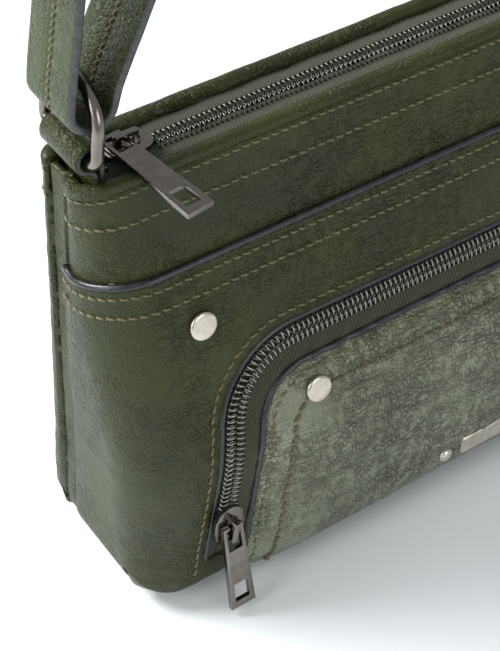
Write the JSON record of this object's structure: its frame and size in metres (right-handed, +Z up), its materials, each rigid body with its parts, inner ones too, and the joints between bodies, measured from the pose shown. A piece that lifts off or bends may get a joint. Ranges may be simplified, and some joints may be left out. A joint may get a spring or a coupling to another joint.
{
  "type": "crossbody purse",
  "caption": "Small structured faux-leather crossbody purse with a recessed top zip, an arched zipped front pocket and an adjustable strap on rings.",
  "frame": {"origin": "on the ground under the middle of the base", "axes": "+X along the bag to its right end seen from the front, -Y the front with the pocket, +Z up"},
  "size_m": [0.2634, 0.0694, 0.4582],
  "materials": {
    "leather": "satin",
    "pocket_leather": "satin",
    "strap_leather": "satin",
    "zip_tape": "matte",
    "zip_coil": "glossy",
    "gunmetal": "polished",
    "nickel": "polished",
    "lining": "matte",
    "board": "matte"
  },
  "bodies": {
    "bag": {"front_top_band": "leather", "front_lower_panel": "leather", "back_panel": "leather", "gusset_left": "leather", "gusset_right": "leather", "base_panel": "leather", "base_board": "board", "main_lining": "lining", "pocket_panel": "pocket_leather", "pocket_lining": "lining", "pocket_gusset": "pocket_leather", "pocket_zip_outer_tape": "zip_tape", "pocket_zip_inner_tape": "zip_tape", "pocket_zip_coil": "zip_coil", "front_rim_facing": "leather", "back_rim_facing": "leather", "top_zip_front_tape": "zip_tape", "top_zip_back_tape": "zip_tape", "top_zip_front_coil": "zip_coil", "top_zip_back_coil": "zip_coil", "top_zip_stops": "gunmetal", "ring_tab_left": "leather", "ring_tab_right": "leather", "strap": "strap_leather", "strap_buckle": "gunmetal", "strap_rivet": "nickel", "panel_rivets": "nickel", "pocket_rivets": "nickel", "rivet_backs": "nickel", "bar_plate": "nickel", "dome_rivets": "nickel"},
    "top_slider": {"top_slider": "gunmetal"},
    "top_pull": {"top_pull": "gunmetal"},
    "pocket_slider": {"pocket_slider": "gunmetal"},
    "pocket_pull": {"pocket_pull": "gunmetal"},
    "ring_left": {"d_ring_left": "gunmetal"},
    "ring_right": {"d_ring_right": "gunmetal"}
  },
  "joints": [
    {"name": "top_slider_slide", "type": "slide", "parent": "bag", "child": "top_slider", "axis": [1, 0, 0], "range_m": [0, 0.221]},
    {"name": "top_pull_swivel", "type": "hinge", "parent": "top_slider", "child": "top_pull", "pos_m": [-0.1141, 0, 0.1404], "axis": [0, 0, 1], "range_deg": [-32, 8]},
    {"name": "pocket_slider_slide", "type": "slide", "parent": "bag", "child": "pocket_slider", "axis": [0.1633, 0, 0.9866], "range_m": [0, 0.022]},
    {"name": "pocket_pull_hinge", "type": "hinge", "parent": "pocket_slider", "child": "pocket_pull", "pos_m": [-0.10713, -0.03848, 0.03179], "axis": [-0.9998, 0, -0.02], "range_deg": [0, 110]},
    {"name": "ring_left_hinge", "type": "hinge", "parent": "bag", "child": "ring_left", "pos_m": [-0.1265, 0, 0.146], "axis": [0, 1, 0], "range_deg": [-5, 5]},
    {"name": "ring_right_hinge", "type": "hinge", "parent": "bag", "child": "ring_right", "pos_m": [0.1265, 0, 0.146], "axis": [0, 1, 0], "range_deg": [-5, 5]}
  ]
}
